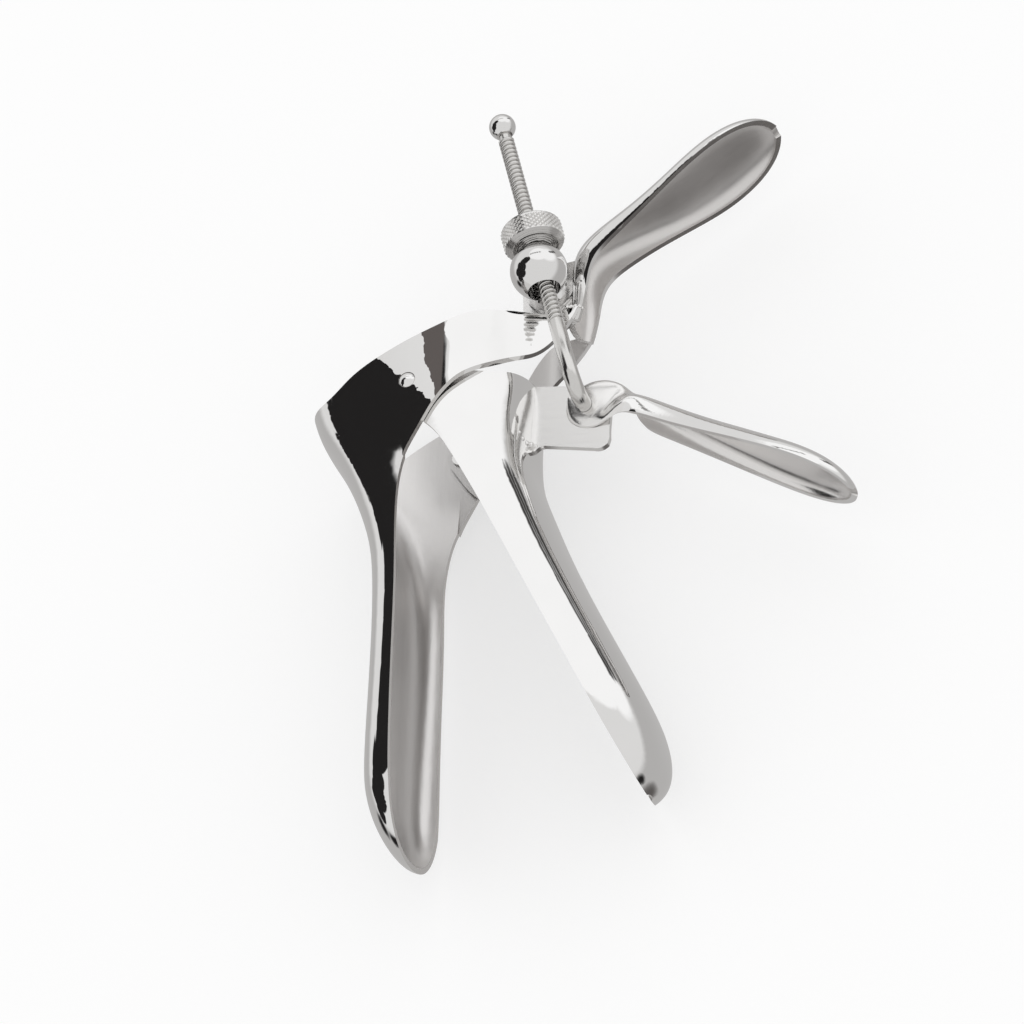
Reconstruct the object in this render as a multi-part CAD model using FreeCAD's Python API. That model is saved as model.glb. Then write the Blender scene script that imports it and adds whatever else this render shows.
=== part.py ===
import FreeCAD, Part
import math
import os

from FreeCAD import Vector

# Bivalve speculum with a side clamp screw, lying on its side, in millimetres.
# Z runs along the hinge axis, the blades point to -Y and the handles to +X.

# sheet and hinge
sheet = 1.3
handle_sheet = 1.4
side_gap = 0.15
hinge_half_width = 20.0
hinge_pin_radius = 1.15
hinge_pin_clearance = 0.05
hinge_head_radius = 1.9
hinge_head_sink = 0.35
open_angle = 27.7

# blades
blade_half_width = 17.0
blade_straight_length = 92.0
tip_length_anterior = 18.2
tip_length_posterior = 20.2
blade_depth_anterior = 8.9
blade_depth_posterior = 11.1
mouth_depth = 26.6
blade_squareness = 0.5
mouth_squareness_anterior = 0.85
mouth_squareness_posterior = 0.15

# ring arms of the anterior valve, where they close on the handle
ring_neck_half_width = 7.0

# handles
handle_half_width_anterior = 12.9
handle_half_width_posterior = 10.7
handle_tip_anterior = 15.2
handle_tip_posterior = 14.0
handle_depth = 4.6

# clamp screw
rod_radius = 1.85
rod_bend_radius = 6.0
rod_plane = 11.0
rod_eye = Vector(36.6, -2.7, 0)
rod_aim = Vector(27.7, 29.6, 0)
rod_length = 75.6
end_ball_radius = 3.1
ball_radius = 6.6
ball_bore_radius = 3.8
ball_shift = Vector(-0.6, -0.2, 0.5)
neck_radius = 2.4
running_clearance = 0.06
nut_radius = 7.1
nut_height = 6.0
nut_chamfer = 1.0
nut_seat_gap = 0.12

# plates
lug_top = 2.8
lug_thickness = 1.5
bracket_top = 3.0
bracket_thickness = 1.4
washer_thickness = 0.8
washer_radius = 5.8

OUT = "parts"
os.makedirs(OUT, exist_ok=True)
Z = Vector(0, 0, 1)
ORIGIN = Vector(0, 0, 0)


def save(shape, name):
    shape.exportStep(OUT + "/" + name + ".step")
    print(name, round(shape.Volume, 1), len(shape.Solids), shape.isValid())


def prism(points, low, high):
    wire = Part.makePolygon([Vector(x, y, low) for x, y in points + points[:1]])
    return Part.Face(wire).extrude(Vector(0, 0, high - low))


def smooth_prism(runs, low, high):
    """Upright block whose outline is a chain of smooth runs joined by straight lines."""
    edges = []
    ends = []
    for run in runs:
        points = [Vector(x, y, low) for x, y in run]
        if len(points) > 2:
            curve = Part.BSplineCurve()
            curve.interpolate(points)
            edges.append(curve.toShape())
        elif len(points) == 2:
            edges.append(Part.makeLine(points[0], points[1]))
        ends.append((points[0], points[-1]))
    for (first, last), (following, end) in zip(ends, ends[1:] + ends[:1]):
        if last.distanceToPoint(following) > 1e-6:
            edges.append(Part.makeLine(last, following))
    face = Part.Face(Part.Wire(Part.__sortEdges__(edges)))
    return face.extrude(Vector(0, 0, high - low))


def cylinder(radius, low, high, centre=ORIGIN):
    return Part.makeCylinder(radius, high - low, Vector(centre.x, centre.y, low), Z)


def blend(table, s):
    if s <= table[0][0]:
        return table[0][1]
    for (s0, v0), (s1, v1) in zip(table[:-1], table[1:]):
        if s <= s1:
            return v0 + (v1 - v0) * (s - s0) / (s1 - s0)
    return table[-1][1]


def section_poles(row, skirt):
    """Control points across a trough: straight skirts, rounded corners, flat back."""
    origin, outward, across, half_width, depth, square = row
    shape = [
        (1.0, 0.0), (1.0, 0.15), (0.93 + 0.07 * square, 0.42 + 0.28 * square),
        (0.66 + 0.14 * square, 0.82 + 0.16 * square), (0.25 + 0.05 * square, 1.0),
    ]
    half = [(half_width, -skirt)] if skirt else []
    half += [(side * half_width, rise * depth) for side, rise in shape]
    poles = [origin + across * side + outward * height for side, height in half]
    return poles + [origin - across * side + outward * height
                    for side, height in reversed(half)]


def even_knots(count):
    spans = count - 3
    return [4] + [1] * (spans - 1) + [4], list(range(spans + 1))


def smooth_surface(rows, skirt):
    poles = [section_poles(row, skirt) for row in rows]
    u_mults, u_knots = even_knots(len(poles))
    v_mults, v_knots = even_knots(len(poles[0]))
    surface = Part.BSplineSurface()
    surface.buildFromPolesMultsKnots(poles, u_mults, v_mults, u_knots, v_knots,
                                     False, False, 3, 3)
    return surface


def closed_solid(faces):
    shell = Part.Compound(faces)
    shell.sewShape()
    solid = Part.Solid(shell.Shells[0])
    return solid if solid.Volume > 0 else solid.reversed()


def edges_of(surface):
    u0, u1, v0, v1 = surface.bounds()
    curves = [surface.uIso(u0), surface.uIso(u1), surface.vIso(v0), surface.vIso(v1)]
    return [curve.toShape() for curve in curves]


def sheet_trough(outer_rows, inner_rows, skirt):
    """Bent sheet between two smooth surfaces, closed along its four edges."""
    outer = smooth_surface(outer_rows, skirt)
    inner = smooth_surface(inner_rows, skirt)
    faces = [outer.toShape(), inner.toShape()]
    for a, b in zip(edges_of(outer), edges_of(inner)):
        faces.append(Part.makeRuledSurface(a, b))
    return closed_solid(faces)


def full_trough(rows, skirt):
    """Solid block that fills a trough down to the foot of its skirts."""
    surface = smooth_surface(rows, skirt)
    start, end, low, high = edges_of(surface)
    floor = Part.makeRuledSurface(low, high)
    caps = []
    for edge in (start, end):
        foot = Part.makeLine(edge.Vertexes[0].Point, edge.Vertexes[-1].Point)
        caps.append(Part.Face(Part.Wire([edge, foot])))
    return closed_solid([surface.toShape(), floor] + caps)


def blade_rows(profile, rim_line, tip_length, mouth_width, mouth_squareness, side, wall):
    """Trough sections of one blade, from the mouth to the rounded tip."""
    outward = Vector(side, 0, 0)
    widths = [(14, mouth_width), (36, blade_half_width)]
    squareness = [(0, mouth_squareness), (40, blade_squareness)]
    rows = []
    for s, back in profile:
        rim = blend(rim_line, s)
        rows.append((Vector(side * rim, -s, 0), outward, Z, blend(widths, s) - wall,
                     back - rim - wall, blend(squareness, s)))
    last, back = profile[-1]
    depth = back - blend(rim_line, last) - wall
    for angle in (20, 38, 54, 67, 77, 85):
        a = math.radians(angle)
        s = last + (tip_length - wall) * math.sin(a)
        rows.append((Vector(side * blend(rim_line, s), -s, 0), outward, Z,
                     (blade_half_width - wall) * math.cos(a) ** 0.9,
                     depth * math.cos(a) ** 0.75, blade_squareness * math.cos(a)))
    return rows


def blade_shell(*blade):
    """Sheet blade, open on the side away from its back."""
    return sheet_trough(blade_rows(*blade, 0.0), blade_rows(*blade, sheet), 9.0)


def handle_rows(stations, half_width, tip_length, wall):
    """Trough sections of a handle along its rim line, ending in a rounded tip."""
    rows = []
    for place, facing, roll, width, depth in stations:
        a = math.radians(facing)
        face = Vector(math.cos(a), math.sin(a), 0)
        a = math.radians(roll)
        outward = face * math.cos(a) + Z * math.sin(a)
        across = Z * math.cos(a) - face * math.sin(a)
        side = width * half_width
        rows.append((place, outward, across, max(side - wall, 0.4 * side) if wall else side,
                     depth * handle_depth - wall, 0.3))
    origin, outward, across, width, depth, square = rows[-1]
    along = outward.cross(Z)
    for angle in (25, 45, 60, 72, 81):
        a = math.radians(angle)
        rows.append((origin + along * ((tip_length - wall) * math.sin(a)), outward, across,
                     width * math.cos(a), depth * math.cos(a), square * math.cos(a)))
    return rows


def swept_band(path, wall, low, high):
    """Upright band along an open path in the XZ plane, straight up to its second point."""
    points = [Vector(x, low, z) for x, z in path]
    along = Vector(1, 0, 0)
    rim = Part.BSplineCurve()
    rim.interpolate(points[1:], InitialTangent=along, FinalTangent=along)
    inside = []
    for k in range(21):
        u = rim.FirstParameter + (rim.LastParameter - rim.FirstParameter) * k / 20
        inside.append(rim.value(u) - rim.tangent(u)[0].cross(Vector(0, 1, 0)) * wall)
    inner = Part.BSplineCurve()
    inner.interpolate(inside, InitialTangent=along, FinalTangent=along)
    start = points[0] - Z * wall
    edges = [
        Part.makeLine(points[0], points[1]), rim.toShape(), Part.makeLine(points[-1], inside[-1]),
        inner.toShape(), Part.makeLine(inside[0], start), Part.makeLine(start, points[0]),
    ]
    face = Part.Face(Part.Wire(Part.__sortEdges__(edges)))
    return face.extrude(Vector(0, high - low, 0))


def back_profile(depth):
    """Depth of a blade behind the hinge plane, by distance from the hinge."""
    neck = [(8, 24.2), (14, 20.1), (20, 16.7), (27, 13.6)]
    swell = [(36, depth + 1.7), (47, depth + 0.5)]
    return neck + swell + [(62, depth), (77, depth), (blade_straight_length, depth)]



# anterior handle, its base wraps the end of the ring
anterior_path = [
    (35.0, 19.0, 178, 0.45, 0.75), (36.3, 24.0, 178, 0.45, 0.9), (36.5, 30.0, 168, 0.46, 1.1),
    (38.0, 35.0, 146, 0.51, 1.5), (41.6, 38.6, 130, 0.55, 1.45), (48.7, 44.0, 126, 0.66, 1.12),
    (55.9, 49.2, 126, 0.83, 0.92), (62.0, 53.4, 126, 0.96, 1.0), (67.6, 57.4, 126, 1.0, 1.05),
]
anterior_stations = [
    (Vector(x, y, 0), facing, 0, width, depth) for x, y, facing, width, depth in anterior_path
]
anterior_outer = handle_rows(anterior_stations, handle_half_width_anterior,
                             handle_tip_anterior, 0.0)
anterior_inner = handle_rows(anterior_stations, handle_half_width_anterior,
                             handle_tip_anterior, handle_sheet)
anterior_hull = full_trough(anterior_outer, 3.0)
anterior_handle = sheet_trough(anterior_outer, anterior_inner, 0.0)
washer_relief = cylinder(washer_radius + 0.3, bracket_top, bracket_top + washer_thickness + 0.4,
                         rod_aim + ball_shift)
anterior_handle = anterior_handle.cut(washer_relief)
save(anterior_handle, "anterior_handle")

# anterior valve: outer blade, its mouth is a ring round the other valve
anterior_rim = [(40, 0.3), (92, -0.1), (100, -0.8), (106, -1.7), (112.5, -2.8)]
mouth = [(-14, mouth_depth + 2.2), (-6, mouth_depth + 1.4), (1, mouth_depth)]
blade = blade_shell(mouth + back_profile(blade_depth_anterior), anterior_rim, tip_length_anterior,
                    hinge_half_width, mouth_squareness_anterior, -1)
w = hinge_half_width
neck = ring_neck_half_width
arm_path = [
    (-1, w), (8, w), (12, w - 0.4), (16, w - 2.6), (20, w - 6.8), (23.5, neck + 2.8),
    (27, neck + 0.5), (31, neck), (37, neck),
]
arm = swept_band(arm_path, sheet, -24, 26)
blade_box = Part.makeBox(60, 160, 80, Vector(-60, -130, -40))
arm_box = Part.makeBox(60, 60, 80, Vector(0, -30, -40))
anterior = blade.common(blade_box)
anterior = anterior.fuse([side.common(arm_box) for side in (arm, arm.mirror(ORIGIN, Z))])
lower_edge = [
    (2.2, -111), (1.2, -106), (0.3, -100), (-0.3, -90), (-0.8, -75), (-1.1, -60), (-1.5, -45),
    (-1.9, -35), (-1.7, -28), (-0.9, -22.3), (1.0, -16.6), (3.7, -11.2), (6.2, -6.4), (11.8, 0),
    (17, 3.9), (21, 7.2), (24.9, 9.6), (28.7, 12.5), (31.5, 15.6), (34.1, 19.5), (35.2, 21.8),
]
upper_edge = [
    (33.5, 21.4), (27, 20.6), (22.1, 19.8), (16.1, 17.4), (9.9, 14.7), (0, 10.7), (-6.5, 7.4),
    (-14, 2.4), (-19, -1.6), (-23, -2.7), (-28, -2.7),
]
valve_view = smooth_prism([lower_edge, upper_edge, [(-40, -2.7)], [(-40, -125)], [(2.2, -125)]],
                          -40, 40)
anterior = anterior.common(valve_view)
anterior = anterior.cut(anterior_hull)
anterior = anterior.cut(cylinder(hinge_pin_radius + hinge_pin_clearance, -30, 30))
sink = cylinder(hinge_head_radius + hinge_pin_clearance, w - hinge_head_sink, w + 5)
anterior = anterior.cut(sink).cut(sink.mirror(ORIGIN, Z))
save(anterior, "anterior_valve")

# posterior valve: inner blade, built in line and then swung open about the hinge
posterior_width = hinge_half_width - sheet - side_gap
posterior_rim = [(0, 0.6), (92, 0.6), (114, 0.0)]
posterior_profile = [(-8, 26.4), (0, 25.8)] + back_profile(blade_depth_posterior)
posterior_blade = (posterior_profile, posterior_rim, tip_length_posterior, posterior_width,
                   mouth_squareness_posterior, 1)
posterior = blade_shell(*posterior_blade)
ear_edge = [
    (1.0, -110), (1.0, -80), (1.0, -55), (1.0, -34), (0.6, -21), (-0.7, -12.4), (-1.7, -9.5),
    (-2.6, -4), (-2.95, -1), (-2.9, 1), (-2.2, 2.4), (0, 3.6), (4, 3.1), (9, -0.5), (14, -4.5),
    (20, -6.4), (26.5, -7.2),
]
posterior_view = smooth_prism([ear_edge, [(40, -7.2)], [(40, -125)], [(1.0, -125)]], -40, 40)
posterior = posterior.common(posterior_view)
posterior = posterior.cut(cylinder(hinge_pin_radius, -30, 30))
posterior.rotate(ORIGIN, Z, open_angle)
save(posterior, "posterior_valve")

# lug plate brazed to the back of the posterior valve
lug_bottom = lug_top - lug_thickness
lug_runs = [
    [(20.0, 5.0), (27.1, 4.1), (33, 3.4), (39.6, 2.7)],
    [(41.6, 1.6), (42.3, -1.0), (42.4, -6.0), (42.4, -11.0)],
    [(42.0, -12.5), (40.6, -13.4), (38.6, -13.3)],
    [(27.6, -11.3), (26.2, -11.4), (25.0, -12.3)],
    [(22, -13.0), (16, -8)],
]
lug = smooth_prism(lug_runs, lug_bottom, lug_top)
posterior_hull = full_trough(blade_rows(*posterior_blade, 0.0), 9.0)
posterior_hull.rotate(ORIGIN, Z, open_angle)
lug = lug.cut(posterior_hull)
lug = lug.cut(cylinder(rod_radius + running_clearance, -5, 10, rod_eye))
save(lug, "lug_plate")

# posterior handle: a flat eye on the lug that twists into a dish
handle_facing = 63.5
handle_along = Vector(math.sin(math.radians(handle_facing)),
                      -math.cos(math.radians(handle_facing)), 0)
handle_face = Vector(math.cos(math.radians(handle_facing)),
                     math.sin(math.radians(handle_facing)), 0)
eye_middle = rod_eye + Vector(0.8, -0.2, lug_top)
flat = handle_sheet / handle_depth
twist = [
    (-5.3, 0.3, 0.0, 90, 1.0, flat), (-4.9, 0.3, 0.0, 90, 2.6, flat),
    (-3.9, 0.4, 0.0, 90, 4.2, flat), (-2.0, 0.8, 0.0, 90, 5.8, flat),
    (0.6, 1.3, 0.0, 90, 6.5, flat), (3.0, 1.8, 0.0, 90, 6.2, flat),
    (4.8, 2.5, -0.1, 86, 5.5, flat), (6.6, 3.2, -0.8, 64, 4.8, 0.6),
    (8.4, 2.7, -1.5, 30, 4.5, 1.0), (10.8, 1.95, -2.0, 6, 4.5, 1.17),
    (14.0, 1.75, -2.0, 0, 4.6, 1.19), (18.5, 1.65, -2.0, 0, 5.0, 1.16),
    (24.0, 1.57, -2.0, 0, 5.8, 1.11),
    (30.6, 1.53, -2.0, 0, 7.0, 1.06), (37.1, 1.52, -2.0, 0, 8.4, 1.03),
    (45.3, 1.46, -2.0, 0, 9.9, 1.0), (53.1, 1.45, -2.0, 0, 10.7, 1.0),
]
posterior_stations = [
    (eye_middle + handle_along * s + handle_face * n + Z * z, handle_facing, roll,
     width / 10.7, depth) for s, n, z, roll, width, depth in twist
]
posterior_handle = sheet_trough(
    handle_rows(posterior_stations, handle_half_width_posterior, handle_tip_posterior, 0.0),
    handle_rows(posterior_stations, handle_half_width_posterior, handle_tip_posterior,
                handle_sheet), 0.0)
posterior_handle = posterior_handle.cut(
    cylinder(rod_radius + running_clearance, -5, 10, rod_eye))
save(posterior_handle, "posterior_handle")

# hinge rivets: domed head outside, flat tail inside the mouth
inner_face = posterior_width - sheet
head_seat = hinge_half_width - hinge_head_sink + hinge_pin_clearance
for name, side in (("hinge_rivet_near", 1), ("hinge_rivet_far", -1)):
    shank = cylinder(hinge_pin_radius, inner_face, head_seat)
    dome = Part.makeSphere(2.2, Vector(0, 0, head_seat - 1.0))
    dome = dome.common(cylinder(hinge_head_radius, head_seat, head_seat + 3))
    tail = cylinder(1.8, inner_face - 0.7, inner_face)
    rivet = shank.fuse([dome, tail]).removeSplitter()
    if side < 0:
        rivet = rivet.mirror(ORIGIN, Z)
    save(rivet, name)

# clamp rod: straight stem, quarter bend and a pin down through the eye
upward = (rod_aim - rod_eye).normalize()
across = Z.cross(upward)
bend_end = rod_eye + Z * (rod_plane - rod_bend_radius)
bend_start = rod_eye + Z * rod_plane + upward * rod_bend_radius
tail_level = lug_bottom - 1.2
pin = Part.makeCylinder(rod_radius, bend_end.z - tail_level, rod_eye + Z * tail_level, Z)
circle = Part.Wire(Part.makeCircle(rod_radius, bend_end, Z))
bend = Part.Face(circle).revolve(bend_end + upward * rod_bend_radius, across, 90)
straight = Part.makeCylinder(rod_radius, rod_length - rod_bend_radius, bend_start, upward)
rod = straight.fuse([bend, pin]).removeSplitter()
save(rod, "clamp_rod")
rod_top = rod_eye + Z * rod_plane + upward * rod_length
end_ball = Part.makeSphere(end_ball_radius, rod_top + upward * (end_ball_radius * 0.2))
end_ball = end_ball.cut(straight)
save(end_ball, "rod_end_ball")
retainer = cylinder(3.1, tail_level + 0.2, lug_bottom - running_clearance, rod_eye)
retainer = retainer.cut(cylinder(rod_radius, tail_level - 1, lug_bottom, rod_eye))
save(retainer, "rod_retainer")

# swivel: drilled ball on a neck that turns in the bracket
ball_centre = rod_aim + Z * rod_plane + across * 0 + ball_shift
stem_axis = Vector(ball_centre.x, ball_centre.y, 0)
washer_top = bracket_top + running_clearance + washer_thickness
bracket_bottom = bracket_top - bracket_thickness
stem_end = bracket_bottom - 1.0
ball = Part.makeSphere(ball_radius, ball_centre)
neck = cylinder(neck_radius, stem_end, ball_centre.z, stem_axis)
shoulder = Part.makeCone(4.2, 3.0, 1.6, stem_axis + Z * washer_top, Z)
ball = ball.fuse([neck, shoulder])
bore = Part.makeCylinder(ball_bore_radius, 30, ball_centre - upward * 15, upward)
ball = ball.cut(bore).removeSplitter()
save(ball, "swivel_ball")
washer = cylinder(washer_radius, bracket_top + running_clearance, washer_top, stem_axis)
washer = washer.cut(cylinder(neck_radius, 0, 10, stem_axis))
save(washer, "swivel_washer")
stem_head = cylinder(3.6, stem_end, bracket_bottom - running_clearance, stem_axis)
stem_head = stem_head.cut(cylinder(neck_radius, -5, 10, stem_axis))
save(stem_head, "swivel_stem_head")
bracket_outline = [
    (20.6, 29.5), (20.9, 22.0), (22.0, 18.6), (30, 18.6), (36, 22), (36, 38), (32.5, 36.5),
    (29.0, 36.0),
]
bracket = prism(bracket_outline, bracket_bottom, bracket_top)
bracket = bracket.fuse(cylinder(6.6, bracket_bottom, bracket_top, stem_axis)).removeSplitter()
bracket = bracket.cut(anterior_hull)
bracket = bracket.cut(cylinder(neck_radius + running_clearance, 0, 10, stem_axis))
save(bracket, "swivel_bracket")

# nut: knurled head over a seat ring that bears on the ball
seat_low = (ball_centre - rod_eye).dot(upward) + 6.7
nut_low = rod_eye + Z * rod_plane + upward * seat_low
nut = Part.makeCylinder(nut_radius, nut_height, nut_low, upward)
nut = nut.makeChamfer(nut_chamfer, [e for e in nut.Edges if e.Length > 40 and e.Closed])
relief = Part.makeCylinder(5.2, 2.2, nut_low - upward, upward)
nut = nut.cut(relief)
nut = nut.cut(Part.makeCylinder(rod_radius + running_clearance, 20, nut_low - upward * 2, upward))
save(nut, "knurled_nut")
seat = Part.makeCylinder(5.1, 1.15, nut_low + upward * 0.02, upward)
seat = seat.cut(Part.makeSphere(ball_radius + nut_seat_gap, ball_centre))
seat = seat.cut(Part.makeCylinder(rod_radius + running_clearance, 20, nut_low - upward * 2,
                                  upward))
save(seat, "nut_seat")
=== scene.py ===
import math

import bmesh
import bpy
from mathutils import Matrix, Vector


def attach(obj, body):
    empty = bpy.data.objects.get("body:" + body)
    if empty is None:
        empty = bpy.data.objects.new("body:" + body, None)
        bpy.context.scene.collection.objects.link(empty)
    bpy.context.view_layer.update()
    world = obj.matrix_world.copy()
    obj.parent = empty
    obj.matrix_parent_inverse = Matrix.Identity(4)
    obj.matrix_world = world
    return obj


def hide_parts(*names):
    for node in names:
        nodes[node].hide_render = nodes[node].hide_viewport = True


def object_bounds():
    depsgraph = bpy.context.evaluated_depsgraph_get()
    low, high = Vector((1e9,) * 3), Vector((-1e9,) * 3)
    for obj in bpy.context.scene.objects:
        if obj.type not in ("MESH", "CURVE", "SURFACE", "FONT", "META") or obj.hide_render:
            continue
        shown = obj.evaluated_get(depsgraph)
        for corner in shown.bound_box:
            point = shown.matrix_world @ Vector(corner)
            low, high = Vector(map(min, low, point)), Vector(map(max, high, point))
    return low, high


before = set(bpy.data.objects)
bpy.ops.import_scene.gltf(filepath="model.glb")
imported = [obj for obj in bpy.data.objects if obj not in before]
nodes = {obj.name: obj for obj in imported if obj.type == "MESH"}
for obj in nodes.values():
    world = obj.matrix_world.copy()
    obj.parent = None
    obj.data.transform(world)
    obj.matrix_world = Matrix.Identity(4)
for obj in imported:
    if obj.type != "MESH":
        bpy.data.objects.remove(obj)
cad_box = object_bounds()
MM = 0.001

# places and sizes shared with the solids, in metres and radians
rod_eye = Vector((36.6, -2.7, 11.0)) * MM
rod_up = Vector((-8.9, 32.3, 0.0)).normalized()
rod_radius = 1.85 * MM
rod_length = 75.6 * MM
bend_radius = 6.0 * MM
pin_foot = 0.1 * MM
thread_pitch = 1.2 * MM
thread_start = 19.6 * MM
thread_end = 73.4 * MM
ball_centre = Vector((27.1, 29.4, 11.5)) * MM
nut_low = rod_eye + rod_up * ((ball_centre - rod_eye).dot(rod_up) + 6.7 * MM)
nut_radius = 7.1 * MM
nut_height = 6.0 * MM
nut_bore = rod_radius + 0.06 * MM
open_angle = math.radians(27.7)
cheek_inside = 18.6 * MM
lower_turn = math.radians(63.5)
lower_root = Vector((37.4, -2.9, 2.8)) * MM

# two points nearer than this are at the same height or place
touching = 1e-6


def fresh():
    """Leaves edit mode with nothing selected."""
    if bpy.context.mode != "OBJECT":
        bpy.ops.object.mode_set(mode="OBJECT")
    bpy.ops.object.select_all(action="DESELECT")


def edit(obj):
    """Opens one object in edit mode with nothing selected in it."""
    fresh()
    bpy.context.view_layer.objects.active = obj
    obj.select_set(True)
    bpy.ops.object.mode_set(mode="EDIT")
    bpy.ops.mesh.select_mode(type="VERT")
    bpy.ops.mesh.select_all(action="DESELECT")


def pick(obj, test, kind="VERT"):
    """Selects the vertices, or the edges by their middle, that pass the test."""
    bpy.ops.mesh.select_mode(type=kind)
    bpy.ops.mesh.select_all(action="DESELECT")
    mesh = bmesh.from_edit_mesh(obj.data)
    if kind == "VERT":
        for vertex in mesh.verts:
            vertex.select_set(test(vertex.co))
    else:
        for edge in mesh.edges:
            edge.select_set(test((edge.verts[0].co + edge.verts[1].co) / 2))
    mesh.select_flush_mode()
    bmesh.update_edit_mesh(obj.data)


def finish_piece(obj, name, body, node, material, angle=40):
    """Bakes a modelled piece's place and modifiers, and gives it its name, finish and body."""
    fresh()
    bpy.context.view_layer.objects.active = obj
    obj.select_set(True)
    bpy.ops.object.transform_apply(location=True, rotation=True, scale=True)
    for modifier in list(obj.modifiers):
        bpy.ops.object.modifier_apply(modifier=modifier.name)
    bpy.ops.object.shade_smooth_by_angle(angle=math.radians(angle))
    obj.name = name
    obj.data.name = name
    obj.data.materials.clear()
    obj.data.materials.append(material)
    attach(obj, body)
    if node:
        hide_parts(node)
    fresh()
    return obj


def turn_to(obj, direction, origin):
    """Lays an object's own Z along a direction at a place."""
    obj.rotation_mode = "QUATERNION"
    obj.rotation_quaternion = Vector(direction).to_track_quat("Z", "Y")
    obj.location = origin


def push(step):
    """Extrudes the selected ring or face by a vector."""
    bpy.ops.mesh.extrude_region_move(TRANSFORM_OT_translate={"value": tuple(step)})


def widen(factor, centre):
    """Scales what is selected about a centre."""
    bpy.ops.transform.resize(value=(factor, factor, factor), center_override=tuple(centre))


def turn_profile(profile, radius, high):
    """Extrudes the selected ring round the Z axis through (radius, height) stations."""
    for wide, level in profile:
        push((0, 0, level - high))
        if abs(wide - radius) > 1e-9:
            widen(wide / radius, (0, 0, level))
        radius, high = wide, level


def ring_at(obj, level):
    """Selects the ring of vertices at a height."""
    pick(obj, lambda co: abs(co.z - level) < touching)


def close_bore():
    """Joins the two selected rings by a wall and turns every face outwards."""
    bpy.ops.mesh.select_mode(type="EDGE")
    bpy.ops.mesh.bridge_edge_loops()
    bpy.ops.mesh.select_all(action="SELECT")
    bpy.ops.mesh.normals_make_consistent(inside=False)


def make_shank():
    """Bent rod: a chamfered pin, the bend, the plain shank and the thread's core."""
    fresh()
    foot_share = 0.9
    chamfer = rod_radius * 0.1
    core_share = 0.76
    run_in = 0.8 * MM
    run_out = 0.15 * MM
    foot = Vector((rod_eye.x, rod_eye.y, pin_foot))
    bpy.ops.mesh.primitive_circle_add(vertices=40, radius=rod_radius * foot_share,
                                      fill_type="NOTHING", location=foot)
    rod = bpy.context.object
    bpy.ops.object.transform_apply(location=True)
    edit(rod)
    bpy.ops.mesh.select_all(action="SELECT")
    bpy.ops.mesh.edge_face_add()
    bpy.ops.mesh.select_all(action="SELECT")
    push((0, 0, chamfer))
    widen(1 / foot_share, foot + Vector((0, 0, chamfer)))
    push((0, 0, rod_eye.z - bend_radius - pin_foot - chamfer))
    pivot = Vector((rod_eye.x, rod_eye.y, rod_eye.z - bend_radius)) + rod_up * bend_radius
    bpy.ops.mesh.spin(steps=14, angle=math.radians(-90), center=pivot,
                      axis=Vector((0, 0, 1)).cross(rod_up))
    reached = bend_radius
    size = 1.0
    for along, share in ((thread_start - run_in, 1.0), (thread_start, core_share),
                         (thread_end, core_share), (thread_end + run_out, 1.0),
                         (rod_length, 1.0)):
        push(rod_up * (along - reached))
        if share != size:
            widen(share / size, rod_eye + rod_up * along)
        reached, size = along, share
    bpy.ops.mesh.select_all(action="SELECT")
    bpy.ops.mesh.normals_make_consistent(inside=False)
    fresh()
    return rod


def make_thread_ridge():
    """Round ridge wound along the stem by the Screw modifier, with closed ends."""
    ridge_radius = 0.5 * MM
    bpy.ops.mesh.primitive_circle_add(vertices=10, radius=ridge_radius, fill_type="NOTHING",
                                      rotation=(math.radians(90), 0, 0))
    ridge = bpy.context.object
    bpy.ops.object.transform_apply(rotation=True)
    edit(ridge)
    bpy.ops.mesh.select_all(action="SELECT")
    bpy.ops.transform.resize(value=(1.05, 1, 1.0))
    bpy.ops.transform.translate(value=(rod_radius - ridge_radius, 0, 0))
    fresh()
    bpy.context.view_layer.objects.active = ridge
    ridge.select_set(True)
    screw = ridge.modifiers.new("thread", "SCREW")
    screw.axis = "Z"
    screw.steps = 24
    screw.render_steps = 24
    screw.screw_offset = thread_pitch
    screw.iterations = int((thread_end - thread_start) / thread_pitch)
    screw.use_merge_vertices = False
    bpy.ops.object.modifier_apply(modifier=screw.name)
    edit(ridge)
    bpy.ops.mesh.select_all(action="SELECT")
    bpy.ops.mesh.fill_holes(sides=0)
    bpy.ops.mesh.select_all(action="SELECT")
    bpy.ops.mesh.normals_make_consistent(inside=False)
    fresh()
    turn_to(ridge, rod_up, rod_eye + rod_up * thread_start)
    return ridge


def make_rod():
    """Threaded clamp rod, its shank and its thread in one piece."""
    rod = make_shank()
    ridge = make_thread_ridge()
    bpy.context.view_layer.objects.active = rod
    ridge.select_set(True)
    rod.select_set(True)
    bpy.ops.object.join()
    return finish_piece(rod, "threaded_clamp_rod", "rod", "clamp_rod",
                        screw_metal, 50)


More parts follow.
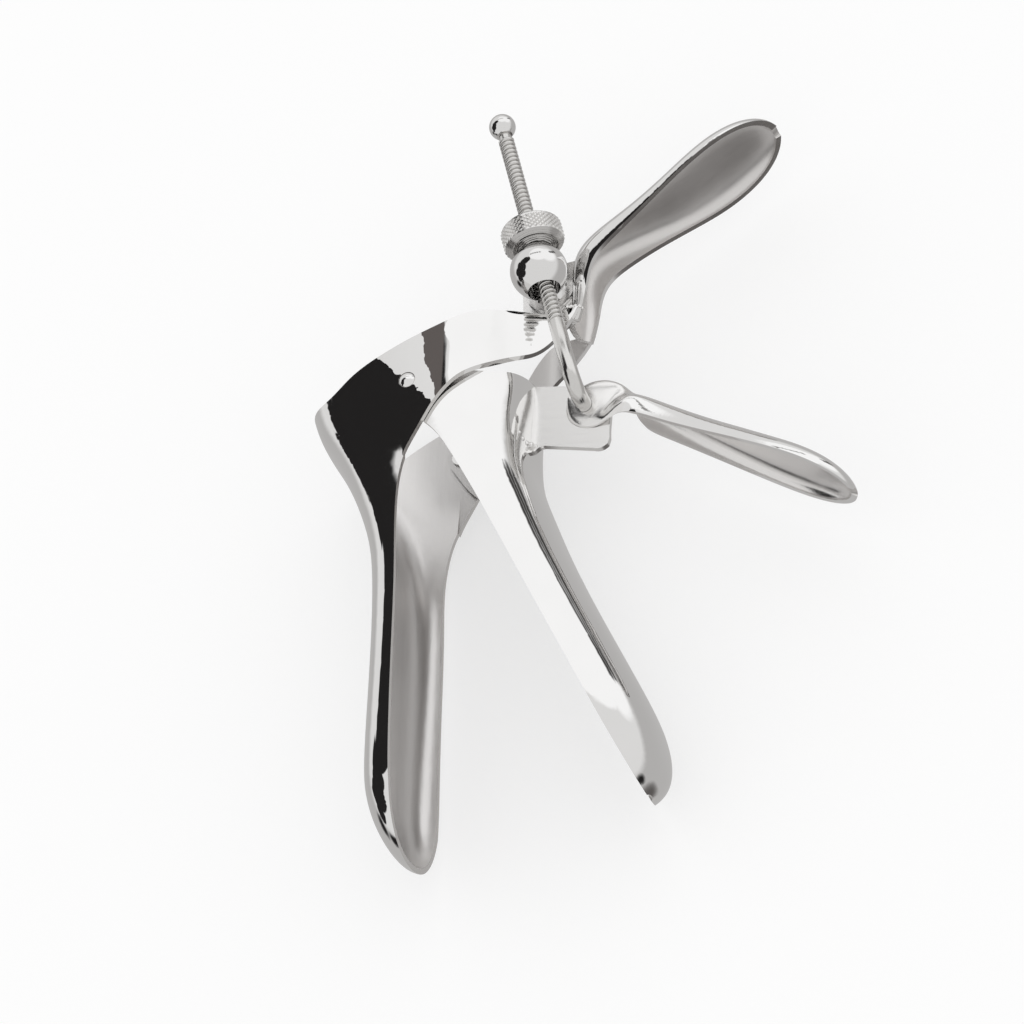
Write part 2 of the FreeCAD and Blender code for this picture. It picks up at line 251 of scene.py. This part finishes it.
def make_nut():
    """Diamond-knurled nut with turned chamfers, a bore and a relief for its seat ring."""
    fresh()
    columns = 36
    rows = 4
    knurl_low = 1.1 * MM
    knurl_high = 5.5 * MM
    knurl_middle = (knurl_high + knurl_low) / 2
    diamond_height = 0.3 * MM
    diamond_gap = 0.2 * MM
    flank = nut_radius - diamond_height
    relief_depth = 1.2 * MM
    bpy.ops.mesh.primitive_cylinder_add(vertices=columns, radius=flank,
                                        depth=knurl_high - knurl_low, end_fill_type="NOTHING",
                                        location=(0, 0, knurl_middle))
    nut = bpy.context.object
    bpy.ops.object.transform_apply(location=True)
    edit(nut)
    pick(nut, lambda co: abs(co.z - knurl_middle) < touching, "EDGE")
    bpy.ops.mesh.subdivide(number_cuts=rows - 1)
    # the middle of every face gets a point, and the faces between two points become diamonds
    bpy.ops.mesh.select_all(action="SELECT")
    bpy.ops.mesh.poke(offset=0)
    bpy.ops.mesh.select_mode(type="EDGE")
    bpy.ops.mesh.select_all(action="DESELECT")
    mesh = bmesh.from_edit_mesh(nut.data)
    for edge in mesh.edges:
        a, b = (vertex.co for vertex in edge.verts)
        upright = (a.xy - b.xy).length < 1e-7
        level = abs(a.z - b.z) < 1e-7
        edge.select_set((upright or level) and len(edge.link_faces) == 2)
    bmesh.update_edit_mesh(nut.data)
    bpy.ops.mesh.dissolve_edges(use_verts=False)
    bpy.ops.mesh.select_mode(type="FACE")
    bpy.ops.mesh.select_all(action="DESELECT")
    mesh = bmesh.from_edit_mesh(nut.data)
    for face in mesh.faces:
        face.select_set(len(face.verts) == 4)
    bmesh.update_edit_mesh(nut.data)
    bpy.ops.mesh.inset(thickness=diamond_gap, depth=diamond_height, use_individual=True)
    # lower end: the chamfer with its turned steps, the rim and the relief for the seat ring
    ring_at(nut, knurl_low)
    turn_profile([(flank, knurl_low - 0.1 * MM), (flank - 0.5 * MM, 0.5 * MM),
                  (flank - 0.56 * MM, 0.5 * MM), (flank - 0.9 * MM, 0.16 * MM),
                  (flank - 0.96 * MM, 0.16 * MM), (flank - 1.12 * MM, 0), (5.28 * MM, 0),
                  (5.2 * MM, 0.08 * MM), (5.2 * MM, relief_depth), (nut_bore, relief_depth)],
                 flank, knurl_low)
    # upper end: the broken edge, a flat face and the countersunk mouth of the bore
    ring_at(nut, knurl_high)
    turn_profile([(flank, knurl_high + 0.08 * MM), (flank - 0.35 * MM, nut_height - 0.1 * MM),
                  (flank - 0.5 * MM, nut_height), (3.4 * MM, nut_height),
                  (3.3 * MM, nut_height - 0.12 * MM), (2.5 * MM, nut_height - 0.12 * MM),
                  (nut_bore, nut_height - 0.5 * MM)], flank, knurl_high)
    pick(nut, lambda co: co.xy.length < nut_bore * 1.02)
    close_bore()
    fresh()
    turn_to(nut, rod_up, nut_low)
    finish_piece(nut, "diamond_knurled_nut", "nut", "knurled_nut", knurl, 28)
    nut.data.materials.append(turned)
    slack = 0.01 * MM
    for face in nut.data.polygons:
        along = (face.center - nut_low).dot(rod_up)
        on_knurl = knurl_low - slack < along < knurl_high + slack
        face.material_index = 0 if on_knurl else 1
    return nut


def make_seat():
    """Seat ring under the nut: a short collar with turned grooves down to the ball."""
    fresh()
    seat_radius = 5.1 * MM
    seat_height = 1.1 * MM
    bpy.ops.mesh.primitive_circle_add(vertices=64, radius=seat_radius, fill_type="NOTHING",
                                      location=(0, 0, seat_height))
    seat = bpy.context.object
    bpy.ops.object.transform_apply(location=True)
    edit(seat)
    bpy.ops.mesh.select_all(action="SELECT")
    profile = [(seat_radius, 0.1 * MM), (5.0 * MM, 0.02 * MM)]
    # each groove cuts up into the underside, comes down again and ends a little lower
    wide, level = 5.0, 0.02
    groove_width, groove_drop = 0.46, 0.20
    for _ in range(3):
        profile += [((wide - 0.14) * MM, (level + 0.18) * MM),
                    ((wide - 0.30) * MM, (level - 0.16) * MM),
                    ((wide - groove_width) * MM, (level - groove_drop) * MM)]
        wide, level = wide - groove_width, level - groove_drop
    profile += [(3.3 * MM, -0.5 * MM), (3.1 * MM, 0.1 * MM), (nut_bore, 0.1 * MM),
                (nut_bore, seat_height)]
    turn_profile(profile, seat_radius, seat_height)
    ring_at(seat, seat_height)
    close_bore()
    fresh()
    turn_to(seat, rod_up, nut_low)
    return finish_piece(seat, "turned_seat_ring", "seat", "nut_seat", turned, 25)


def make_braze(name, body, drops):
    """Fused drops of braze along a joint, each given as a place and a radius in millimetres."""
    fresh()
    beads = []
    for place, radius in drops:
        bpy.ops.mesh.primitive_ico_sphere_add(subdivisions=3, radius=radius * MM,
                                              location=Vector(place) * MM)
        beads.append(bpy.context.object)
    for bead in beads:
        bead.select_set(True)
    bpy.context.view_layer.objects.active = beads[0]
    bpy.ops.object.join()
    braze = bpy.context.object
    bpy.ops.object.transform_apply(location=True, rotation=True, scale=True)
    edit(braze)
    bpy.ops.mesh.select_all(action="SELECT")
    bpy.ops.transform.vertex_random(offset=0.06 * MM, normal=1.0, seed=4)
    fresh()
    bpy.context.view_layer.objects.active = braze
    braze.select_set(True)
    fuse = braze.modifiers.new("fuse", "REMESH")
    fuse.mode = "VOXEL"
    fuse.voxel_size = 0.11 * MM
    soften = braze.modifiers.new("soften", "SMOOTH")
    soften.iterations = 4
    return finish_piece(braze, name, body, None, brushed, 60)


def new_material(name):
    """A material that is metal all over, with its node tree and its shader."""
    material = bpy.data.materials.new(name)
    material.use_nodes = True
    tree = material.node_tree
    shader = tree.nodes["Principled BSDF"]
    shader.inputs["Metallic"].default_value = 1.0
    return material, tree, shader


def add(tree, kind, **values):
    """Adds a node; each value is set on the input of that name, or else on the node."""
    node = tree.nodes.new(kind)
    for key, value in values.items():
        if key in node.inputs.keys():
            node.inputs[key].default_value = value
        else:
            setattr(node, key, value)
    return node


def gloss_from(tree, shader, noise, low, high):
    """Lets a noise sway the roughness between two values."""
    gloss = add(tree, "ShaderNodeMapRange")
    gloss.inputs["To Min"].default_value = low
    gloss.inputs["To Max"].default_value = high
    tree.links.new(noise.outputs["Fac"], gloss.inputs["Value"])
    tree.links.new(gloss.outputs["Result"], shader.inputs["Roughness"])


def colour_from(tree, shader, noise, colour, darkest):
    """Lets a noise darken the colour down to a share of it."""
    ramp = add(tree, "ShaderNodeValToRGB")
    ramp.color_ramp.elements[0].color = (*[part * darkest for part in colour], 1)
    ramp.color_ramp.elements[1].color = (*colour, 1)
    tree.links.new(noise.outputs["Fac"], ramp.inputs["Fac"])
    tree.links.new(ramp.outputs["Color"], shader.inputs["Base Color"])


def polished_steel(name, colour, low, high, waves=0.02, flats=None):
    """Mirror-polished stainless steel with buffing marks and the faint waves of hand finishing."""
    material, tree, shader = new_material(name)
    place = add(tree, "ShaderNodeTexCoord")
    stretch = add(tree, "ShaderNodeMapping")
    stretch.inputs["Scale"].default_value = (1.0, 0.18, 1.0)
    tree.links.new(place.outputs["Object"], stretch.inputs["Vector"])
    buffing = add(tree, "ShaderNodeTexNoise", Scale=900.0, Detail=4.0, Roughness=0.6)
    tree.links.new(stretch.outputs["Vector"], buffing.inputs["Vector"])
    gloss_from(tree, shader, buffing, low, high)
    smear = add(tree, "ShaderNodeTexNoise", Scale=60.0, Detail=2.0)
    tree.links.new(place.outputs["Object"], smear.inputs["Vector"])
    colour_from(tree, shader, smear, colour, 0.93)
    swell = add(tree, "ShaderNodeTexNoise", Scale=110.0, Detail=1.0)
    tree.links.new(place.outputs["Object"], swell.inputs["Vector"])
    bump = add(tree, "ShaderNodeBump", Strength=waves, Distance=0.001)
    tree.links.new(swell.outputs["Fac"], bump.inputs["Height"])
    if flats:
        tree.links.new(flats(tree, place.outputs["Object"]), bump.inputs["Normal"])
    tree.links.new(bump.outputs["Normal"], shader.inputs["Normal"])
    return material


def half_mask(tree, place, direction, edge):
    """1 on the far side of an edge across a direction, 0 before it."""
    blur = 0.12
    along = add(tree, "ShaderNodeVectorMath", operation="DOT_PRODUCT")
    tree.links.new(place, along.inputs[0])
    along.inputs[1].default_value = direction
    ramp = add(tree, "ShaderNodeMapRange")
    ramp.inputs["From Min"].default_value = edge * MM
    ramp.inputs["From Max"].default_value = (edge + blur) * MM
    tree.links.new(along.outputs["Value"], ramp.inputs["Value"])
    return ramp.outputs["Result"]


def tilted(tree, normal, mask, tilt):
    """Leans a normal by a tilt where the mask is 1."""
    lean = add(tree, "ShaderNodeVectorMath", operation="SCALE")
    lean.inputs[0].default_value = tilt
    tree.links.new(mask, lean.inputs["Scale"])
    total = add(tree, "ShaderNodeVectorMath", operation="ADD")
    tree.links.new(normal, total.inputs[0])
    tree.links.new(lean.outputs["Vector"], total.inputs[1])
    return total.outputs["Vector"]


def cheek_flats(tree, place):
    """Flats with ragged borders that hand polishing leaves on the cheek of the outer valve."""
    grit = add(tree, "ShaderNodeTexNoise", Scale=230.0, Detail=4.0)
    tree.links.new(place, grit.inputs["Vector"])
    shifted = add(tree, "ShaderNodeVectorMath", operation="MULTIPLY_ADD")
    tree.links.new(grit.outputs["Color"], shifted.inputs[0])
    shifted.inputs[1].default_value = (5.0 * MM, 5.0 * MM, 0)
    tree.links.new(place, shifted.inputs[2])
    spot = shifted.outputs["Vector"]
    normal = add(tree, "ShaderNodeTexCoord").outputs["Normal"]
    # each flat: the direction across its border, the border's place in millimetres, the lean
    for direction, edge, tilt in (((-1, -1, 0), -4.6, (-0.03, -0.03, 0)),
                                  ((1, 0.25, 0), 8.7, (-0.05, -0.012, 0)),
                                  ((1, 0.25, 0), 14.9, (0.05, 0.012, 0))):
        normal = tilted(tree, normal, half_mask(tree, spot, direction, edge), tilt)
    turned_out = add(tree, "ShaderNodeVectorTransform", vector_type="NORMAL")
    turned_out.convert_from = "OBJECT"
    turned_out.convert_to = "WORLD"
    tree.links.new(normal, turned_out.inputs["Vector"])
    unit = add(tree, "ShaderNodeVectorMath", operation="NORMALIZE")
    tree.links.new(turned_out.outputs["Vector"], unit.inputs[0])
    return unit.outputs["Vector"]


def satin_steel(name, colour, low, high, stretch_by, grain=0.08):
    """Satin stainless steel with fine brushing along one direction."""
    material, tree, shader = new_material(name)
    place = add(tree, "ShaderNodeTexCoord")
    stretch = add(tree, "ShaderNodeMapping")
    stretch.inputs["Scale"].default_value = stretch_by
    tree.links.new(place.outputs["Object"], stretch.inputs["Vector"])
    brush = add(tree, "ShaderNodeTexNoise", Scale=700.0, Detail=5.0, Roughness=0.7)
    tree.links.new(stretch.outputs["Vector"], brush.inputs["Vector"])
    gloss_from(tree, shader, brush, low, high)
    colour_from(tree, shader, brush, colour, 0.9)
    bump = add(tree, "ShaderNodeBump", Strength=grain, Distance=0.0002)
    tree.links.new(brush.outputs["Fac"], bump.inputs["Height"])
    tree.links.new(bump.outputs["Normal"], shader.inputs["Normal"])
    return material


mirror = polished_steel("mirror_polished_steel", (0.88, 0.875, 0.87), 0.015, 0.045)
cheek = polished_steel("mirror_cheek_steel", (0.88, 0.875, 0.87), 0.015, 0.045, 0.012, cheek_flats)
ball_finish = polished_steel("polished_ball_steel", (0.84, 0.835, 0.83), 0.04, 0.09, 0.0)
knurl = satin_steel("bright_knurled_steel", (0.80, 0.79, 0.78), 0.12, 0.22, (1, 1, 1), 0.01)
turned = satin_steel("turned_ring_steel", (0.56, 0.55, 0.54), 0.12, 0.24, (1, 1, 1), 0.03)
screw_metal = satin_steel("rolled_thread_steel", (0.72, 0.71, 0.695), 0.10, 0.20, (1, 1, 1), 0.01)
satin = satin_steel("satin_inside_steel", (0.80, 0.785, 0.775), 0.24, 0.38, (1, 0.1, 1))
hollow = satin_steel("satin_hollow_steel", (0.80, 0.782, 0.77), 0.30, 0.42, (0.4, 0.4, 1))
bright_satin = satin_steel("bright_satin_steel", (0.88, 0.865, 0.855), 0.16, 0.28, (1, 0.1, 1))
brushed = satin_steel("brushed_plate_steel", (0.90, 0.89, 0.88), 0.14, 0.26, (0.15, 1, 1), 0.05)
ground = satin_steel("ground_edge_steel", (0.76, 0.745, 0.73), 0.18, 0.30, (1, 1, 1))


def coat(names, material):
    """Gives whole CAD pieces one finish."""
    for name in names:
        nodes[name].data.materials.clear()
        nodes[name].data.materials.append(material)


# the sides of a sheet part, which are also the places of its finishes
OUTSIDE, INSIDE, GROUND_EDGE, BASE_PLATE = range(4)

# the inner blade is turned back by the open angle, so that its back looks along X
swing = Matrix.Rotation(-open_angle, 3, "Z")

# the rim line of each handle, down the middle of its mouth
upper_rim = [Vector(point) * MM for point in
             ((35.0, 19.0, 0), (36.3, 24.0, 0), (36.5, 30.0, 0), (38.0, 35.0, 0),
              (41.6, 38.6, 0), (48.7, 44.0, 0), (72.5, 60.9, 0))]
lower_along = Vector((math.sin(lower_turn), -math.cos(lower_turn), 0))
lower_start = lower_root + lower_along.cross(Vector((0, 0, -1))) * 1.5 * MM
lower_start.z -= 2.0 * MM
lower_rim = [lower_start + lower_along * along * MM for along in (10.0, 57.5)]
base_plate_length = 9 * MM


def side_of_sheet(gap, normal, opening):
    """Side of a dished sheet, by a face's gap from the middle of the dish and its normal."""
    facing = gap.dot(normal) / gap.length
    if abs(facing) < 0.45 and normal.dot(opening) > 0.6:
        return GROUND_EDGE
    return INSIDE if facing < 0 else OUTSIDE


def blade_side(at, normal, outward):
    """Side of a blade whose back looks along X, with flat cheeks at its mouth."""
    if abs(at.z) > cheek_inside:
        if abs(normal.z) < 0.3:
            return GROUND_EDGE
        return INSIDE if normal.z * at.z < 0 else OUTSIDE
    return side_of_sheet(Vector((at.x, 0, at.z)), normal, Vector((-outward, 0, 0)))


def handle_side(at, normal, route):
    """Side of a handle whose rim line follows a route."""
    gaps = []
    for start, end in zip(route[:-1], route[1:]):
        run = end - start
        share = max(0.0, min(1.0, (at - start).dot(run) / run.length_squared))
        gaps.append((at - (start + run * share), run))
    gap, run = min(gaps, key=lambda pair: pair[0].length)
    opening = Vector((0, 0, 1)).cross(run).normalized()
    if opening.dot(gap) > 0:
        opening.negate()
    return side_of_sheet(gap, normal, opening)


def lower_handle_side(at, normal):
    """Side of the lower handle, whose flat base plate comes before its dish."""
    if (at - lower_start).dot(lower_along) <= base_plate_length:
        return BASE_PLATE
    return handle_side(at, normal, lower_rim)


def finish_sides(name, side_of, finishes):
    """Gives each side of a sheet part its finish, by the side that a face lies on."""
    mesh = nodes[name].data
    mesh.materials.clear()
    for material in finishes:
        mesh.materials.append(material)
    for face in mesh.polygons:
        face.material_index = side_of(face.center, face.normal)


def toward(longitude, latitude):
    """Unit vector to a compass angle and a height angle, both in degrees."""
    u, v = math.radians(longitude), math.radians(latitude)
    return (math.cos(u) * math.cos(v), math.sin(u) * math.cos(v), math.sin(v))


def light_patch(tree, view, longitude, latitude, radius, feather):
    """Round patch of the surroundings: 1 inside its radius, 0 outside, in degrees."""
    facing = add(tree, "ShaderNodeVectorMath", operation="DOT_PRODUCT")
    tree.links.new(view, facing.inputs[0])
    facing.inputs[1].default_value = toward(longitude, latitude)
    patch = add(tree, "ShaderNodeMapRange", interpolation_type="SMOOTHSTEP")
    patch.inputs["From Min"].default_value = math.cos(math.radians(radius + feather))
    patch.inputs["From Max"].default_value = math.cos(math.radians(max(radius - feather, 0)))
    tree.links.new(facing.outputs["Value"], patch.inputs["Value"])
    return patch.outputs["Result"]


def largest(tree, masks):
    """The largest of several masks at each place."""
    total = masks[0]
    for mask in masks[1:]:
        joined = add(tree, "ShaderNodeMath", operation="MAXIMUM")
        tree.links.new(total, joined.inputs[0])
        tree.links.new(mask, joined.inputs[1])
        total = joined.outputs["Value"]
    return total


def mixed(tree, factor, first, second):
    """Colour mix of two colours or sockets."""
    mix = add(tree, "ShaderNodeMix", data_type="RGBA")
    tree.links.new(factor, mix.inputs["Factor"])
    for socket, value in ((mix.inputs[6], first), (mix.inputs[7], second)):
        if isinstance(value, tuple):
            socket.default_value = (*value, 1)
        else:
            tree.links.new(value, socket)
    return mix.outputs[2]


def painted(tree, view, room, colour, patches):
    """The room with round patches of one colour on it."""
    mask = largest(tree, [light_patch(tree, view, *patch) for patch in patches])
    return mixed(tree, mask, room, colour)


def lay_floor():
    """Pale floor under the object, part glowing to the camera and not there for reflections."""
    floor_size = 6.0
    floor_gap = 0.0001
    glow_share = 0.6
    bpy.ops.mesh.primitive_plane_add(size=floor_size, location=(0, 0, cad_box[0].z - floor_gap))
    floor = bpy.context.object
    floor.name = "studio_floor"
    material, tree, shader = new_material("pale_floor")
    shader.inputs["Metallic"].default_value = 0.0
    shader.inputs["Roughness"].default_value = 0.9
    shader.inputs["Base Color"].default_value = (0.96, 0.96, 0.96, 1)
    glow = add(tree, "ShaderNodeEmission", Strength=1.0)
    glow.inputs["Color"].default_value = (1, 1, 1, 1)
    seen = add(tree, "ShaderNodeLightPath")
    share = add(tree, "ShaderNodeMath", operation="MULTIPLY")
    tree.links.new(seen.outputs["Is Camera Ray"], share.inputs[0])
    share.inputs[1].default_value = glow_share
    lit_floor = add(tree, "ShaderNodeMixShader")
    tree.links.new(share.outputs["Value"], lit_floor.inputs[0])
    tree.links.new(shader.outputs["BSDF"], lit_floor.inputs[1])
    tree.links.new(glow.outputs["Emission"], lit_floor.inputs[2])
    clear = add(tree, "ShaderNodeBsdfTransparent")
    open_floor = add(tree, "ShaderNodeMixShader")
    tree.links.new(seen.outputs["Is Glossy Ray"], open_floor.inputs[0])
    tree.links.new(lit_floor.outputs["Shader"], open_floor.inputs[1])
    tree.links.new(clear.outputs["BSDF"], open_floor.inputs[2])
    tree.links.new(open_floor.outputs["Shader"], tree.nodes["Material Output"].inputs["Surface"])
    floor.data.materials.append(material)


def swayed(tree, view):
    """The view direction swayed a little by a noise, for borders that aren't quite round."""
    ripple = add(tree, "ShaderNodeTexNoise", Scale=3.2, Detail=2.0)
    tree.links.new(view, ripple.inputs["Vector"])
    centred = add(tree, "ShaderNodeVectorMath", operation="SUBTRACT")
    tree.links.new(ripple.outputs["Color"], centred.inputs[0])
    centred.inputs[1].default_value = (0.5, 0.5, 0.5)
    sway = add(tree, "ShaderNodeVectorMath", operation="MULTIPLY_ADD")
    tree.links.new(centred.outputs["Vector"], sway.inputs[0])
    sway.inputs[1].default_value = (0.08, 0.08, 0.08)
    tree.links.new(view, sway.inputs[2])
    bent = add(tree, "ShaderNodeVectorMath", operation="NORMALIZE")
    tree.links.new(sway.outputs["Vector"], bent.inputs[0])
    return bent.outputs["Vector"]


def light_studio():
    """White surroundings; reflections see a room with softboxes and dark gaps instead."""
    world = bpy.data.worlds.new("studio")
    bpy.context.scene.world = world
    world.use_nodes = True
    tree = world.node_tree
    view = add(tree, "ShaderNodeTexCoord").outputs["Generated"]
    bent = swayed(tree, view)
    height = add(tree, "ShaderNodeSeparateXYZ")
    tree.links.new(view, height.inputs["Vector"])
    above = add(tree, "ShaderNodeMapRange", interpolation_type="SMOOTHSTEP")
    above.inputs["From Min"].default_value = -0.22
    above.inputs["From Max"].default_value = 0.12
    tree.links.new(height.outputs["Z"], above.inputs["Value"])
    room = mixed(tree, above.outputs["Result"], (0.50, 0.492, 0.486), (0.80, 0.796, 0.79))
    # every patch: compass angle, height angle, radius and feather in degrees
    softboxes = [(50, 26, 25, 7), (76, 44, 29, 3), (100, 58, 11, 1)]
    grey_band = [(76, 36, 2.5, 2), (84, 40, 2.5, 2), (92, 42.5, 2.5, 2), (101, 43.5, 2.5, 2),
                 (110, 44, 2.5, 2)]
    shade = [(309, -50, 15, 10)]
    dark_gap = [(58, 9, 3.5, 2.5), (57, 2, 3.5, 2.5), (59, -6, 3.5, 2.5)]
    dark_row = [(200 + 22 * step, -14, 8, 5) for step in range(6)]
    dark_field = [(139, 55.5, 9.6, 0.3), (148, 50, 13, 0.8), (160, 42, 13, 0.8),
                  (170, 28, 12, 0.8), (184, 16, 13, 0.8), (202, 10, 12, 0.8), (182, 42, 15, 0.8),
                  (200, 32, 15, 0.8)]
    curtain = [(127, 50.3, 2.4, 0.3)]
    room = painted(tree, view, room, (1.06, 1.06, 1.06), softboxes)
    room = painted(tree, view, room, (0.30, 0.295, 0.29), grey_band)
    room = painted(tree, view, room, (0.12, 0.112, 0.108), shade)
    room = painted(tree, view, room, (0.06, 0.057, 0.055), dark_gap)
    room = painted(tree, bent, room, (0.018, 0.017, 0.017), dark_row + dark_field)
    room = painted(tree, view, room, (0.13, 0.115, 0.11), curtain)
    path = add(tree, "ShaderNodeLightPath")
    shown = mixed(tree, path.outputs["Is Glossy Ray"], (1.0, 1.0, 1.0), room)
    background = tree.nodes["Background"]
    tree.links.new(shown, background.inputs["Color"])
    background.inputs["Strength"].default_value = 1.0


def set_camera():
    """Camera of the photo, from its focal length in pixels and the hinge's place before it."""
    sensor_width = 36.0
    focal_pixels = 3960.0
    photo_pixels = 1024.0
    hinge_right, hinge_down, hinge_ahead = -17.273, -20.227, 900.0
    right = Vector((0.9497, 0.0413, -0.3103))
    down = Vector((-0.1138, -0.8779, -0.4652))
    ahead = Vector((-0.2916, 0.4771, -0.829))
    camera_data = bpy.data.cameras.new("camera")
    camera_data.sensor_width = sensor_width
    camera_data.lens = focal_pixels * sensor_width / photo_pixels
    camera_data.clip_start = 0.05
    camera_data.clip_end = 20.0
    camera = bpy.data.objects.new("camera", camera_data)
    bpy.context.scene.collection.objects.link(camera)
    turn = Matrix((right, -down, -ahead)).transposed()
    stand = -(right * hinge_right + down * hinge_down + ahead * hinge_ahead) * MM
    camera.matrix_world = Matrix.Translation(stand) @ turn.to_4x4()
    bpy.context.scene.camera = camera
    bpy.context.scene.view_settings.view_transform = "Standard"


coat(nodes, mirror)
coat(("lug_plate", "swivel_bracket", "swivel_washer", "swivel_stem_head", "rod_retainer"), brushed)
coat(("swivel_ball", "rod_end_ball"), ball_finish)
finish_sides("anterior_valve", lambda at, normal: blade_side(at, normal, -1),
             (cheek, satin, ground))
finish_sides("posterior_valve", lambda at, normal: blade_side(swing @ at, swing @ normal, 1),
             (mirror, satin, ground))
finish_sides("anterior_handle", lambda at, normal: handle_side(at, normal, upper_rim),
             (mirror, hollow, ground))
finish_sides("posterior_handle", lower_handle_side, (mirror, bright_satin, ground, brushed))

make_braze("lug_braze_drops", "inner_valve",
           [((24.2, -10.9, 3.2), 0.75), ((25.2, -11.1, 2.6), 0.55), ((23.7, -11.3, 5.0), 0.65),
            ((23.4, -11.2, 7.0), 0.6), ((26.6, -11.2, 2.3), 0.45), ((23.2, -10.4, 8.6), 0.4)])
make_braze("handle_braze_bead", "outer_valve",
           [((32.4, 22.0, 6.6), 0.55), ((33.2, 22.3, 6.0), 0.6), ((34.1, 22.6, 5.6), 0.55),
            ((35.0, 22.4, 5.7), 0.5), ((35.8, 21.9, 5.6), 0.4)])
make_rod()
make_nut()
make_seat()
lay_floor()
light_studio()
set_camera()
